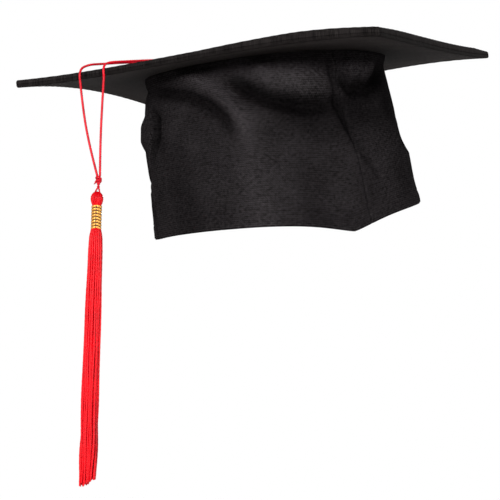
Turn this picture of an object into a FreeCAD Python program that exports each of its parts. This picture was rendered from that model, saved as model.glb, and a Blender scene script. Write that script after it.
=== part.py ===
import FreeCAD, Part
import math
import os

# Graduation cap: a cloth-covered square board on a soft fitted crown, with a button on top and a
# tassel that hangs over the board's front right edge. Lengths are millimetres, angles degrees.
#
# Row frame: the origin is the centre of the head opening, +Z points straight up against gravity,
# and the wearer looks towards -Y. The cap sits tilted on the head and the tassel hangs plumb.
# Cap frame: the same origin, with Z along the crown's own axis. The board's corners point along
# X and Y. Cap pieces are drawn in the cap frame and tilted as one by to_row().

Vector = FreeCAD.Vector
os.makedirs("parts", exist_ok=True)

# ---- driving dimensions: how the cap sits
SIDE_TILT = 6.9            # the wearer's right side is lower
BACK_TILT = 4.6            # the front is higher

# ---- driving dimensions: board
BOARD_SIDE = 240.0
BOARD_CORNER_RADIUS = 4.0
COVER = 0.6                # cover cloth
STIFFENER = 3.4            # laminated card
LAYER_GAP = 0.1            # glue line between layers
CROWN_HEIGHT = 101.0       # head opening to the middle of the board's underside
SIDE_DROOP = 2.8           # how far the side corners hang below the board's middle
FRONT_DROOP = 9.4          # the same for the front and back corners
FRONT_EDGE_BOW = 23.6      # front edges bow down, back edges bow up
LEFT_EDGE_BOW = 13.4       # edges on the wearer's left bow down, those on the right bow up

# ---- driving dimensions: crown
TOP_RADIUS = 79.0          # seam circle under the board
RIM_HALF_WIDTH = 83.5
RIM_HALF_LENGTH = 96.5
RIM_SHIFT = -8.0           # the head opening's middle lies this far forward of the board's
CROWN_PUFF = 2.5           # outward swell between seam and rim
CROWN_CLOTH = 1.2          # cloth with its interfacing
FRONT_SEAM_ANGLE = 9.0     # from the front, towards the wearer's left
SIDE_SEAM_ANGLE = 100.0
HEM_SKEW = 2.8             # the hem is this much higher at the wearer's left, lower at the right
FRONT_DIP = 6.0            # the front hem curves down by this
POINT_DROP = 8.6           # and comes to a point at the middle
POINT_HALF_WIDTH = 24.0
BACK_RISE = 5.0            # the back hem curves up
HEM_HEIGHT = 12.0
HEM_TAPE = 0.6
ELASTIC_WIDTH = 14.0
ELASTIC_THICKNESS = 1.0
CASING_HEIGHT = 18.0
LINING_RADIUS = 74.0

# ---- driving dimensions: button
BUTTON_RADIUS = 11.0
BUTTON_FOOT = 4.2          # height of the button's underside above the board
BUTTON_HEIGHT = 10.2       # height of the button's top above the board
COLLAR_RADIUS = 6.4
SHANK_RADIUS = 1.5
WASHER_RADIUS = 8.0

# ---- driving dimensions: tassel
CORD_DIAMETER = 1.5
KNOT = Vector(-137.6, -38.0, 20.4)      # row frame, on the tassel's plumb line
KNOT_RADIUS = 2.1
KNOT_HEIGHT = 4.9
HEAD_TOP = 7.3             # depths below the knot's middle
HEAD_BOTTOM = 15.3
HEAD_RADIUS = 3.7
BINDING_BOTTOM = 29.8
FRINGE_TIP = 187.3
CORE_RADIUS = 2.5
BINDING_THICKNESS = 0.5
BUNDLE_COUNT = 6           # bundles of fringe around the middle one

BOARD_THICKNESS = 2 * COVER + STIFFENER + 2 * LAYER_GAP
HALF_DIAGONAL = BOARD_SIDE / math.sqrt(2.0)
CORD_RADIUS = CORD_DIAMETER / 2.0


def save(name, shape):
    shape.exportStep("parts/%s.step" % name)
    print("%-22s %2d solids %10.1f mm3 %s" % (name, len(shape.Solids), shape.Volume, shape.isValid()))


def to_row(shape):
    """A cap-frame shape, tilted as the cap sits."""
    turned = shape.copy()
    turned.rotate(Vector(0, 0, 0), Vector(0, 1, 0), -SIDE_TILT)
    turned.rotate(Vector(0, 0, 0), Vector(1, 0, 0), -BACK_TILT)
    return turned


def point_to_row(point):
    about_y = FreeCAD.Rotation(Vector(0, 1, 0), -SIDE_TILT)
    about_x = FreeCAD.Rotation(Vector(1, 0, 0), -BACK_TILT)
    return about_x.multVec(about_y.multVec(point))


def cylinder(radius, low, high, x=0.0, y=0.0):
    return Part.makeCylinder(radius, high - low, Vector(x, y, low))


# ---------------------------------------------------------------- board

def board_sag(x, y):
    """Height of the board's surface at (x, y) relative to its middle."""
    across = x / HALF_DIAGONAL
    ahead = -y / HALF_DIAGONAL
    level = SIDE_DROOP * across ** 2 + FRONT_DROOP * ahead ** 2
    bow = FRONT_EDGE_BOW * across ** 2 * ahead + LEFT_EDGE_BOW * across * ahead ** 2
    return -level - bow


def sagged_slab(low, high):
    """An oversize slab between two heights above the board's underside, sagged as the board is."""
    steps = 12
    reach = 1.1 * HALF_DIAGONAL
    rows = []
    for i in range(steps + 1):
        x = reach * (2.0 * i / steps - 1.0)
        row = []
        for j in range(steps + 1):
            y = reach * (2.0 * j / steps - 1.0)
            row.append(Vector(x, y, CROWN_HEIGHT + low + board_sag(x, y)))
        rows.append(row)
    surface = Part.BSplineSurface()
    surface.interpolate(rows)
    return surface.toShape().extrude(Vector(0, 0, high - low))


def square_prism(inset):
    """An upright prism with the board's outline, drawn in by inset."""
    half = BOARD_SIDE / 2.0 - inset
    height = 80.0
    box = Part.makeBox(2 * half, 2 * half, height, Vector(-half, -half, CROWN_HEIGHT - height / 2))
    upright = [edge for edge in box.Edges if abs(edge.tangentAt(edge.FirstParameter).z) > 0.5]
    prism = box.makeFillet(BOARD_CORNER_RADIUS - inset, upright)
    prism.rotate(Vector(0, 0, 0), Vector(0, 0, 1), 45.0)
    return prism


def board_layer(low, high, inset):
    return sagged_slab(low, high).common(square_prism(inset))


def make_board():
    middle = BOARD_THICKNESS / 2.0
    shank_hole = cylinder(SHANK_RADIUS + 0.2, CROWN_HEIGHT - 5, CROWN_HEIGHT + 12)
    stiffener_low = COVER + LAYER_GAP
    stiffener = board_layer(stiffener_low, stiffener_low + STIFFENER, COVER + LAYER_GAP)
    top = board_layer(middle + LAYER_GAP / 2, BOARD_THICKNESS, 0.0)
    top = top.cut(board_layer(middle - 1.0, BOARD_THICKNESS - COVER, COVER))
    bottom = board_layer(0.0, middle - LAYER_GAP / 2, 0.0)
    bottom = bottom.cut(board_layer(COVER, middle + 1.0, COVER))
    save("board_stiffener", to_row(stiffener.cut(shank_hole)))
    save("board_top_cover", to_row(top.cut(shank_hole)))
    save("board_bottom_cover", to_row(bottom.cut(shank_hole)))


# ---------------------------------------------------------------- button

def turned(points_and_arcs):
    """A solid of revolution about Z. Each entry is a line's end, or an arc's middle and end."""
    edges = []
    here = points_and_arcs[0]
    for step in points_and_arcs[1:]:
        if isinstance(step, tuple):
            edges.append(Part.Arc(here, step[0], step[1]).toShape())
            here = step[1]
        else:
            edges.append(Part.LineSegment(here, step).toShape())
            here = step
    return Part.Face(Part.Wire(edges)).revolve(Vector(0, 0, 0), Vector(0, 0, 1), 360)


def button_form(skin):
    """The domed button, drawn in by skin all round."""
    radius = BUTTON_RADIUS - skin
    low = CROWN_HEIGHT + BOARD_THICKNESS + BUTTON_FOOT + skin
    top = CROWN_HEIGHT + BOARD_THICKNESS + BUTTON_HEIGHT - skin
    shoulder = low + 0.45 * (top - low)
    crest = 1.5
    return turned([
        Vector(0, 0, low),
        Vector(radius - 1.2, 0, low),
        (Vector(radius, 0, low + 0.2 * (top - low)), Vector(radius - 0.7, 0, shoulder)),
        (Vector(0.62 * radius, 0, top - 0.16 * (top - low)), Vector(crest, 0, top)),
        Vector(0, 0, top),
        Vector(0, 0, low),
    ])


def make_button():
    board_top = CROWN_HEIGHT + BOARD_THICKNESS
    underside = board_top + BUTTON_FOOT
    shell_thickness = 0.7
    solid_form = button_form(COVER)
    hollow = button_form(COVER + shell_thickness)
    back = cylinder(BUTTON_RADIUS - 2.6, underside + COVER, underside + COVER + shell_thickness)
    mouth = cylinder(BUTTON_RADIUS - 2.5, underside - 1, underside + COVER + shell_thickness + 0.1)
    shank_top = underside + COVER + shell_thickness + 0.1
    collar = cylinder(COLLAR_RADIUS, board_top + 0.1, underside - 0.1)
    collar = collar.cut(cylinder(SHANK_RADIUS + 0.1, board_top - 1, underside + 1))
    cloth = button_form(0.0).cut(solid_form).cut(mouth)
    shell = solid_form.cut(hollow).cut(mouth)
    washer_top = CROWN_HEIGHT - 0.1
    washer = cylinder(WASHER_RADIUS, washer_top - 0.8, washer_top)
    washer = washer.cut(cylinder(SHANK_RADIUS + 0.05, washer_top - 2, washer_top + 1))
    shank = cylinder(SHANK_RADIUS, washer_top - 1.4, shank_top - shell_thickness - 0.2)
    foot = cylinder(2.6, washer_top - 1.6, washer_top - 0.9)
    save("button_cover", to_row(cloth))
    save("button_shell", to_row(shell))
    save("button_back", to_row(back))
    save("button_collar", to_row(collar))
    save("button_shank", to_row(shank.fuse(foot).removeSplitter()))
    save("button_washer", to_row(washer))


# ---------------------------------------------------------------- crown

def crown_outline(height, inset):
    """The crown's closed plan curve at a height above the rim plane, drawn in by inset."""
    drop = (CROWN_HEIGHT - height) / CROWN_HEIGHT
    swell = CROWN_PUFF * math.sin(math.pi * min(max(drop, 0.0), 1.0)) - inset
    half_x = TOP_RADIUS + (RIM_HALF_WIDTH - TOP_RADIUS) * drop + swell
    half_y = TOP_RADIUS + (RIM_HALF_LENGTH - TOP_RADIUS) * drop + swell
    count = 16
    points = []
    for i in range(count):
        turn = 2 * math.pi * i / count
        points.append(Vector(half_x * math.sin(turn), RIM_SHIFT * drop - half_y * math.cos(turn), height))
    curve = Part.BSplineCurve()
    curve.interpolate(Points=points, PeriodicFlag=True)
    return Part.Wire(curve.toShape())


def crown_form(inset):
    heights = [CROWN_HEIGHT + 4, 76.0, 50.0, 24.0, 0.0, -18.0]
    return Part.makeLoft([crown_outline(height, inset) for height in heights], True)


def hem_profile(x, front):
    """Height of the crown's lower edge above the rim plane."""
    arch = math.cos(math.pi / 2 * min(abs(x) / RIM_HALF_WIDTH, 1.0))
    level = -1.0 + HEM_SKEW * x / RIM_HALF_WIDTH
    if not front:
        return level + BACK_RISE * arch
    point = math.exp(-(abs(x) / POINT_HALF_WIDTH) ** 1.3)
    return level - FRONT_DIP * arch - POINT_DROP * point


def below_hem(lift):
    """Everything under the crown's lower edge, raised by lift."""
    pieces = []
    for front in (True, False):
        depth = 140.0
        start = Vector(0, RIM_SHIFT - depth, 0) if front else Vector(0, RIM_SHIFT, 0)
        halves = [[-110, -84, -64, -42, -24, -10, 0], [0, 10, 24, 42, 64, 84, 110]]
        edges = []
        for half in halves:
            line = [start + Vector(x, 0, hem_profile(x, front) + lift) for x in half]
            curve = Part.BSplineCurve()
            curve.interpolate(line)
            edges.append(curve.toShape())
        left = start + Vector(-110, 0, hem_profile(-110, front) + lift)
        right = start + Vector(110, 0, hem_profile(110, front) + lift)
        low_left = start + Vector(-110, 0, -60)
        low_right = start + Vector(110, 0, -60)
        for a, b in ((right, low_right), (low_right, low_left), (low_left, left)):
            edges.append(Part.LineSegment(a, b).toShape())
        face = Part.Face(Part.Wire(Part.sortEdges(edges)[0]))
        pieces.append(face.extrude(Vector(0, depth, 0)))
    return pieces


def trimmed(wall, lift=0.0):
    for piece in below_hem(lift):
        wall = wall.cut(piece)
    return wall


def sector(start, end):
    """An upright wedge between two angles from the front, turning towards the wearer's left."""
    reach = 260.0
    hub = Vector(0, RIM_SHIFT, -40)
    corners = [hub]
    steps = 3
    for i in range(steps + 1):
        turn = math.radians(start + (end - start) * i / steps)
        corners.append(hub + Vector(reach * math.sin(turn), -reach * math.cos(turn), 0))
    corners.append(hub)
    return Part.Face(Part.makePolygon(corners)).extrude(Vector(0, 0, 200))


def band(inset, thickness, low, high):
    """A strip inside the crown's lower edge, from low to high above the hem line."""
    wall = crown_form(inset).cut(crown_form(inset + thickness))
    upper = trimmed(wall, high)
    return trimmed(wall, low).cut(upper)


def make_crown():
    above = sagged_slab(-0.1, 40.0)
    wall = crown_form(0.0).cut(crown_form(CROWN_CLOTH)).cut(above)
    wall = trimmed(wall)
    back = 180.0
    panels = {
        "crown_front_left": (FRONT_SEAM_ANGLE, SIDE_SEAM_ANGLE),
        "crown_back_left": (SIDE_SEAM_ANGLE, back),
        "crown_back_right": (back, 360.0 - SIDE_SEAM_ANGLE),
        "crown_front_right": (-SIDE_SEAM_ANGLE, FRONT_SEAM_ANGLE),
    }
    for name, (start, end) in panels.items():
        save(name, to_row(wall.common(sector(start, end))))

    front = sector(-SIDE_SEAM_ANGLE, SIDE_SEAM_ANGLE)
    rear = sector(SIDE_SEAM_ANGLE + 0.2, 359.8 - SIDE_SEAM_ANGLE)
    inside = CROWN_CLOTH + LAYER_GAP
    save("front_hem_tape", to_row(band(inside, HEM_TAPE, 0.5, HEM_HEIGHT).common(front)))
    margin = (CASING_HEIGHT - ELASTIC_WIDTH) / 2.0
    elastic = band(inside, ELASTIC_THICKNESS, margin, margin + ELASTIC_WIDTH)
    save("elastic_band", to_row(elastic.common(rear)))
    casing_inset = inside + ELASTIC_THICKNESS + LAYER_GAP
    save("back_casing", to_row(band(casing_inset, HEM_TAPE, 0.5, CASING_HEIGHT).common(rear)))

    disc = sagged_slab(-0.9, -0.1).common(cylinder(LINING_RADIUS, 60, 130))
    save("crown_lining_disc", to_row(disc.cut(cylinder(WASHER_RADIUS + 1, 60, 130))))


# ---------------------------------------------------------------- cords

def on_board(along, inwards, height):
    """A point by its distance along the board's front right edge from the right corner, its
    distance inwards from that edge, and its height above the top cover. In the row frame."""
    root = math.sqrt(0.5)
    x = -HALF_DIAGONAL + root * (along + inwards)
    y = root * (inwards - along)
    z = CROWN_HEIGHT + board_sag(x, y) + BOARD_THICKNESS + height
    return point_to_row(Vector(x, y, z))


def cord_tube(name, route):
    """A round cord of straight runs joined by tangent arcs, as large as the runs allow."""
    corners = [Vector(point) for point in route]
    edges = []
    radii = []
    here = corners[0]
    for before, corner, after in zip(corners, corners[1:], corners[2:]):
        back_run = before - corner
        next_run = after - corner
        half_turn = (math.pi - back_run.getAngle(next_run)) / 2.0
        cut_back = 0.45 * min(back_run.Length, next_run.Length)
        radius = cut_back / math.tan(half_turn)
        radii.append(radius)
        start = corner + Vector(back_run).normalize() * cut_back
        end = corner + Vector(next_run).normalize() * cut_back
        bisector = (Vector(back_run).normalize() + Vector(next_run).normalize()).normalize()
        middle = corner + bisector * (radius / math.cos(half_turn) - radius)
        edges.append(Part.LineSegment(here, start).toShape())
        edges.append(Part.Arc(start, middle, end).toShape())
        here = end
    edges.append(Part.LineSegment(here, corners[-1]).toShape())
    path = Part.Wire(edges)
    direction = corners[1] - corners[0]
    section = Part.Wire(Part.Circle(corners[0], direction, CORD_RADIUS).toShape())
    tube = path.makePipeShell([section], True, True)
    expected = math.pi * CORD_RADIUS ** 2 * path.Length
    print("%s length %.1f, volume %.4f of section times length" % (name, path.Length, tube.Volume / expected))
    print("   radii", ["%.1f" % radius for radius in radii])
    save(name, tube)


HANG_RIGHT = 47.0          # where the two strands cross the edge, from the board's right corner
HANG_LEFT = 63.5
HANG_STANDOFF = -1.35
HANG_LEVEL = -BOARD_THICKNESS
HINGE_GAP = 1.2            # lets each strand turn under the cord's end without cutting into it
KNOT_GAP = 0.3


def make_cords():
    # One loop of cord: up the board's edge, across to the button, round its collar and back.
    loop = [
        (HANG_RIGHT, HANG_STANDOFF, HANG_LEVEL + HINGE_GAP),
        (47.2, -1.9, 1.4),
        (50.6, 4.6, 3.9),
        (55.3, 14.2, 3.5),
        (62.2, 29.6, 3.3),
        (75.8, 53.0, 2.5),
        (90.2, 81.5, 1.3),
        (102.2, 102.4, 1.4),
        (109.2, 115.5, 2.1),
        (115.4, 127.6, 2.4),
        (124.2, 127.9, 2.4),
        (128.8, 120.3, 2.4),
        (122.3, 108.6, 2.1),
        (114.8, 95.6, 1.4),
        (104.9, 76.0, 1.3),
        (89.9, 49.8, 1.5),
        (77.4, 24.8, 2.2),
        (69.4, 11.0, 2.8),
        (65.2, 3.4, 3.2),
        (63.7, -1.9, 1.2),
        (HANG_LEFT, HANG_STANDOFF, HANG_LEVEL + HINGE_GAP),
    ]
    cord_tube("cord_on_board", [on_board(*point) for point in loop])

    right_start = on_board(HANG_RIGHT, HANG_STANDOFF, HANG_LEVEL)
    left_start = on_board(HANG_LEFT, HANG_STANDOFF, HANG_LEVEL)
    along_edge = (left_start - right_start).normalize()
    into_knot = KNOT + Vector(0, 0, 0.5 * KNOT_HEIGHT + KNOT_GAP)
    bulge = along_edge * -1.0
    right_fall = into_knot + along_edge * -0.9 - right_start
    right_route = [
        right_start,
        right_start + right_fall * 0.30 + bulge * 1.6,
        right_start + right_fall * 0.68 + bulge * 1.7,
        right_start + right_fall,
    ]
    left_fall = into_knot + along_edge * 0.9 - left_start
    left_route = [
        left_start,
        left_start + left_fall * 0.33 + bulge * 0.5,
        left_start + left_fall * 0.69 + bulge * 0.6,
        left_start + left_fall,
    ]
    cord_tube("loop_strand_right", right_route)
    cord_tube("loop_strand_left", left_route)
    print("hinge line", right_start, left_start, "direction", along_edge)


# ---------------------------------------------------------------- tassel

def on_tassel(shape):
    """A shape drawn about Z with the knot's middle at the origin, moved to the tassel."""
    moved = shape.copy()
    moved.translate(KNOT)
    return moved


def make_knot():
    half = KNOT_HEIGHT / 2.0
    waist = 1.1
    knot = turned([
        Vector(0, 0, -half),
        Vector(waist, 0, -half),
        (Vector(KNOT_RADIUS, 0, 0), Vector(waist, 0, half)),
        Vector(0, 0, half),
        Vector(0, 0, -half),
    ])
    save("loop_knot", on_tassel(knot))
    tail = Part.makeCylinder(0.6, 2.4, Vector(-2.3, 0.3, -1.0), Vector(-0.45, 0, -1))
    save("knot_tail", on_tassel(tail.cut(knot)))


def make_neck():
    neck_top = -KNOT_HEIGHT / 2.0 - 0.15
    neck_radius = 0.75
    neck_low = neck_top - 1.9
    flat = 0.2
    bend = 0.22            # an arc's middle lies this share of the radius inside the square corner
    neck = turned([
        Vector(0, 0, neck_low),
        Vector(flat, 0, neck_low),
        (Vector(neck_radius * (1 - bend), 0, neck_low + bend * neck_radius),
         Vector(neck_radius, 0, neck_low + neck_radius)),
        Vector(neck_radius, 0, neck_top - neck_radius),
        (Vector(neck_radius * (1 - bend), 0, neck_top - bend * neck_radius),
         Vector(flat, 0, neck_top)),
        Vector(0, 0, neck_top),
        Vector(0, 0, neck_low),
    ])
    save("neck_twist", on_tassel(neck))

    loop_radius = 1.1
    thread = 0.55
    arc_middle = neck_low - 0.12 - loop_radius - thread
    leg_foot = -HEAD_TOP + 0.2
    left_leg = Part.LineSegment(Vector(-loop_radius, 0, leg_foot), Vector(-loop_radius, 0, arc_middle))
    over = Part.Arc(
        Vector(-loop_radius, 0, arc_middle),
        Vector(0, 0, arc_middle + loop_radius),
        Vector(loop_radius, 0, arc_middle),
    )
    right_leg = Part.LineSegment(Vector(loop_radius, 0, arc_middle), Vector(loop_radius, 0, leg_foot))
    path = Part.Wire([left_leg.toShape(), over.toShape(), right_leg.toShape()])
    section = Part.Wire(Part.Circle(Vector(-loop_radius, 0, leg_foot), Vector(0, 0, 1), thread).toShape())
    hanger = path.makePipeShell([section], True, True)
    # its plane follows the board's edge, seen from outside as an upturned U
    hanger.rotate(Vector(0, 0, 0), Vector(0, 0, 1), -45.0)
    save("hanger_loop", on_tassel(hanger))
    print("neck pivot z %.2f, hanger pivot z %.2f" % (KNOT.z + neck_top - neck_radius, KNOT.z + arc_middle))


def make_head():
    middle = -(HEAD_TOP + HEAD_BOTTOM) / 2.0
    head = turned([
        Vector(0, 0, -HEAD_TOP),
        Vector(0.6, 0, -HEAD_TOP),
        (Vector(0.74 * HEAD_RADIUS, 0, middle + 2.9), Vector(HEAD_RADIUS, 0, middle)),
        (Vector(0.93 * HEAD_RADIUS, 0, middle - 2.0), Vector(CORE_RADIUS, 0, -HEAD_BOTTOM)),
        Vector(0, 0, -HEAD_BOTTOM),
        Vector(0, 0, -HEAD_TOP),
    ])
    save("tassel_head", on_tassel(head))
    core_top = -HEAD_BOTTOM - 0.05
    save("tassel_core", on_tassel(cylinder(CORE_RADIUS, -BINDING_BOTTOM, core_top)))
    inner = CORE_RADIUS + 0.1
    tube = cylinder(inner + BINDING_THICKNESS, -BINDING_BOTTOM + 0.1, core_top - 0.15)
    save("tassel_binding", on_tassel(tube.cut(cylinder(inner, -BINDING_BOTTOM - 1, 0))))


def make_fringe():
    """Bundles of thread: one in the middle and a ring of the rest, spreading as they hang."""
    top = -BINDING_BOTTOM - 0.1
    unevenness = [0.0, 1.6, 0.4, 2.8, 1.0, 3.4, 2.0]
    spread = [(top, 2.25, 1.08), (-80.0, 3.15, 1.52), (-140.0, 3.4, 1.64), (-FRINGE_TIP, 3.3, 1.58)]
    for i in range(BUNDLE_COUNT + 1):
        turn = 2 * math.pi * i / BUNDLE_COUNT
        rings = []
        for height, ring_radius, bundle_radius in spread:
            distance = 0.0 if i == BUNDLE_COUNT else ring_radius
            if height == -FRINGE_TIP:
                height += unevenness[i]
            middle = Vector(distance * math.cos(turn), distance * math.sin(turn), height)
            rings.append(Part.Wire(Part.Circle(middle, Vector(0, 0, 1), bundle_radius).toShape()))
        save("fringe_bundle_%d" % (i + 1), on_tassel(Part.makeLoft(rings, True)))


make_board()
make_button()
make_crown()
make_cords()
make_knot()
make_neck()
make_head()
make_fringe()
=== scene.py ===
import math

import bpy
import numpy as np
from mathutils import Matrix, Vector, noise


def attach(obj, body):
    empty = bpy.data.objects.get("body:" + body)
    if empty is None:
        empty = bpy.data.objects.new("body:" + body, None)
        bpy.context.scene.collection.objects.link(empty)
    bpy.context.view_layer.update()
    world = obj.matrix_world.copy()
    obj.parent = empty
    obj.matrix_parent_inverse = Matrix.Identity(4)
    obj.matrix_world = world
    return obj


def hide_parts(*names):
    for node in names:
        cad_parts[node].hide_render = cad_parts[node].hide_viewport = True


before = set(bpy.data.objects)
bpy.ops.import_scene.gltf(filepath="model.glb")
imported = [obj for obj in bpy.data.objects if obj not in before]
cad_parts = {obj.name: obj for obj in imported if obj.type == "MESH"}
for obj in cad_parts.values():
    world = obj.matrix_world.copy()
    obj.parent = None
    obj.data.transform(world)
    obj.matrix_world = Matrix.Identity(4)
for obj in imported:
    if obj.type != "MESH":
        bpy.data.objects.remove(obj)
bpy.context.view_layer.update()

# Graduation cap. Blender units are metres; the shapes below are worked out in millimetres.
# Row frame: origin at the middle of the head opening, +Z plumb up, the wearer looks towards -Y.
# Cap frame: the same origin with Z along the crown's axis and the board's corners on X and Y.
MM = 0.001
SIDE_TILT = math.radians(6.9)
BACK_TILT = math.radians(4.6)
CAP_TO_ROW = Matrix.Rotation(-BACK_TILT, 3, "X") @ Matrix.Rotation(-SIDE_TILT, 3, "Y")
TURN = np.array(CAP_TO_ROW)

BOARD_SIDE = 240.0
BOARD_CORNER_RADIUS = 4.0
BOARD_THICKNESS = 4.8
CROWN_HEIGHT = 101.0
HALF_DIAGONAL = BOARD_SIDE / math.sqrt(2.0)
SIDE_DROOP, FRONT_DROOP = 2.8, 9.4
FRONT_EDGE_BOW, LEFT_EDGE_BOW = 23.6, 13.4

TOP_RADIUS = 79.0
RIM_HALF_WIDTH, RIM_HALF_LENGTH, RIM_SHIFT = 83.5, 96.5, -8.0
CROWN_PUFF = 2.5
CROWN_CLOTH = 1.1
FRONT_SEAM, SIDE_SEAM = 9.0, 100.0
HEM_SKEW, FRONT_DIP, BACK_RISE = 2.8, 6.0, 5.0
POINT_DROP, POINT_HALF_WIDTH = 8.6, 24.0

CORD_DIAMETER = 1.5
KNOT = np.array([-137.6, -38.0, 20.4])
ALONG_EDGE = np.array([0.7092, -0.7050, 0.0])
OUTWARD = np.array([-0.7050, -0.7092, 0.0])
HEAD_TOP, HEAD_BOTTOM, HEAD_RADIUS = 7.3, 15.3, 3.7
COLLAR_RADIUS = 6.4
WASHER_RADIUS = 8.0
LINING_RADIUS = 74.0
CORE_RADIUS = 2.5
BINDING_BOTTOM, FRINGE_TIP = 29.8, 187.3
HANG_RIGHT, HANG_LEFT, HANG_STANDOFF = 47.0, 63.5, -1.35    # where the loop's strands leave the edge
BUTTON_RADIUS, BUTTON_FOOT = 11.0, 4.2
LIP_ROWS = 11              # rows of a board cover's grid that turn down over the edge

CAMERA_FROM_BOARD = (-448.1, -1106.8, -119.6)    # millimetres from the board's middle
CAMERA_LOOK = (0.37035, 0.92889, 0.0)
CAMERA_ROLL = math.radians(1.55)
CAMERA_LENS = 130.9
FACING = 248.0             # the turn of the tassel's side that faces the camera, in degrees
DARKEST_FOLD = -8.0        # painted shade: a valley deeper than this, in millimetres, is painted no darker

rng = np.random.default_rng(7)


# ---- camera, floor and light

def add_object(name, data):
    obj = bpy.data.objects.new(name, data)
    bpy.context.scene.collection.objects.link(obj)
    return obj


def make_camera():
    """Level camera in front of the wearer's right, with a slight roll."""
    board_middle = TURN @ np.array([0.0, 0.0, CROWN_HEIGHT])
    place = board_middle + np.array(CAMERA_FROM_BOARD)
    look = Vector(CAMERA_LOOK).normalized()
    level_right = look.cross(Vector((0, 0, 1))).normalized()
    up = Vector((0, 0, 1)) * math.cos(CAMERA_ROLL) - level_right * math.sin(CAMERA_ROLL)
    right = look.cross(up).normalized()
    turn = Matrix((right, up, -look)).transposed().to_4x4()
    data = bpy.data.cameras.new("camera")
    data.lens = CAMERA_LENS
    data.sensor_width = 36.0
    camera = add_object("camera", data)
    camera.matrix_world = Matrix.Translation(Vector(place) * MM) @ turn
    bpy.context.scene.camera = camera


def make_area_light(name, place, aim, size, power):
    data = bpy.data.lights.new(name, "AREA")
    data.shape = "DISK"
    data.size = size
    data.energy = power
    light = add_object(name, data)
    light.location = place
    light.rotation_euler = (Vector(aim) - Vector(place)).to_track_quat("-Z", "Y").to_euler()


def make_world():
    """A studio: a lit white sweep on one side, pale grey walls, and a dimmer ceiling."""
    world = bpy.data.worlds.new("world")
    world.use_nodes = True
    tree = world.node_tree
    place = tree.nodes.new("ShaderNodeTexCoord")
    facing = tree.nodes.new("ShaderNodeVectorMath")
    facing.operation = "DOT_PRODUCT"
    facing.inputs[1].default_value = (0.37, 0.93, 0.0)
    tree.links.new(place.outputs["Generated"], facing.inputs[0])
    wall = (0.52, 0.52, 0.52)
    sweep = colour_ramp(tree, facing.outputs["Value"], [(0.72, wall), (0.90, (1, 1, 1))])
    split = tree.nodes.new("ShaderNodeSeparateXYZ")
    tree.links.new(place.outputs["Generated"], split.inputs["Vector"])
    ceiling = colour_ramp(tree, split.outputs["Z"], [(0.25, (1, 1, 1)), (0.45, (0.4, 0.4, 0.4))])
    light = tree.nodes.new("ShaderNodeMix")
    light.data_type = "RGBA"
    light.blend_type = "MULTIPLY"
    light.inputs["Factor"].default_value = 1.0
    tree.links.new(sweep, light.inputs["A"])
    tree.links.new(ceiling, light.inputs["B"])
    tree.links.new(light.outputs["Result"], tree.nodes["Background"].inputs["Color"])
    bpy.context.scene.world = world


def make_stage():
    bpy.ops.mesh.primitive_circle_add(vertices=160, radius=0.85, fill_type="NGON", location=(0, 0, -0.30))
    floor = bpy.context.object
    floor.name = "floor"
    material = bpy.data.materials.new("floor_white")
    material.use_nodes = True
    shader = material.node_tree.nodes["Principled BSDF"]
    shader.inputs["Base Color"].default_value = (0.82, 0.82, 0.82, 1)
    shader.inputs["Roughness"].default_value = 0.9
    floor.data.materials.append(material)
    make_world()
    bpy.context.scene.view_settings.view_transform = "Standard"
    for name, place, middle, size, power in (
        ("key", (-1.45, -1.85, 0.40), 0.05, 0.5, 105.0),
        ("fill", (1.5, -1.7, 0.3), 0.05, 1.0, 24.0),
        ("top", (0.2, 0.6, 1.8), 0.1, 1.4, 14.0),
        ("rear", (0.9, 2.1, 0.6), 0.05, 0.6, 60.0),
        ("side", (2.3, 0.5, 0.5), 0.05, 0.6, 32.0),
    ):
        make_area_light(name, place, (0, 0, middle), size, power)


# ---- materials

def new_material(name):
    material = bpy.data.materials.new(name)
    material.use_nodes = True
    tree = material.node_tree
    return material, tree, tree.nodes["Principled BSDF"]


def add_node(tree, kind, **inputs):
    node = tree.nodes.new(kind)
    for key, value in inputs.items():
        node.inputs[key].default_value = value
    return node


def scaled_uv(tree, scale, turn=0.0):
    """The piece's own UV map, laid out in millimetres, turned and scaled."""
    uv = tree.nodes.new("ShaderNodeUVMap")
    uv.uv_map = "cloth"
    mapping = tree.nodes.new("ShaderNodeMapping")
    mapping.inputs["Scale"].default_value = scale
    mapping.inputs["Rotation"].default_value = (0, 0, turn)
    tree.links.new(uv.outputs["UV"], mapping.inputs["Vector"])
    return mapping.outputs["Vector"]


def colour_ramp(tree, factor, stops):
    """The colour between two (position, colour) stops."""
    ramp = tree.nodes.new("ShaderNodeValToRGB")
    tree.links.new(factor, ramp.inputs["Fac"])
    for element, (position, colour) in zip(ramp.color_ramp.elements, stops):
        element.position = position
        element.color = (*colour, 1)
    return ramp.outputs["Color"]


def texture(tree, kind, scale, turn=0.0, **inputs):
    """A texture node laid on the piece's own UV map."""
    node = add_node(tree, "ShaderNodeTex" + kind, **inputs)
    tree.links.new(scaled_uv(tree, scale, turn), node.inputs["Vector"])
    return node


def blend(tree, first, second, share):
    mixed = tree.nodes.new("ShaderNodeMix")
    mixed.data_type = "FLOAT"
    mixed.inputs["Factor"].default_value = share
    tree.links.new(first, mixed.inputs["A"])
    tree.links.new(second, mixed.inputs["B"])
    return mixed.outputs["Result"]


def add_bump(tree, height, strength, distance, under=None):
    """The normal of a bump, distance millimetres deep, over another bump's normal."""
    bump = add_node(tree, "ShaderNodeBump", Strength=strength, Distance=distance * MM)
    tree.links.new(height, bump.inputs["Height"])
    if under is not None:
        tree.links.new(under, bump.inputs["Normal"])
    return bump.outputs["Normal"]


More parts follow.
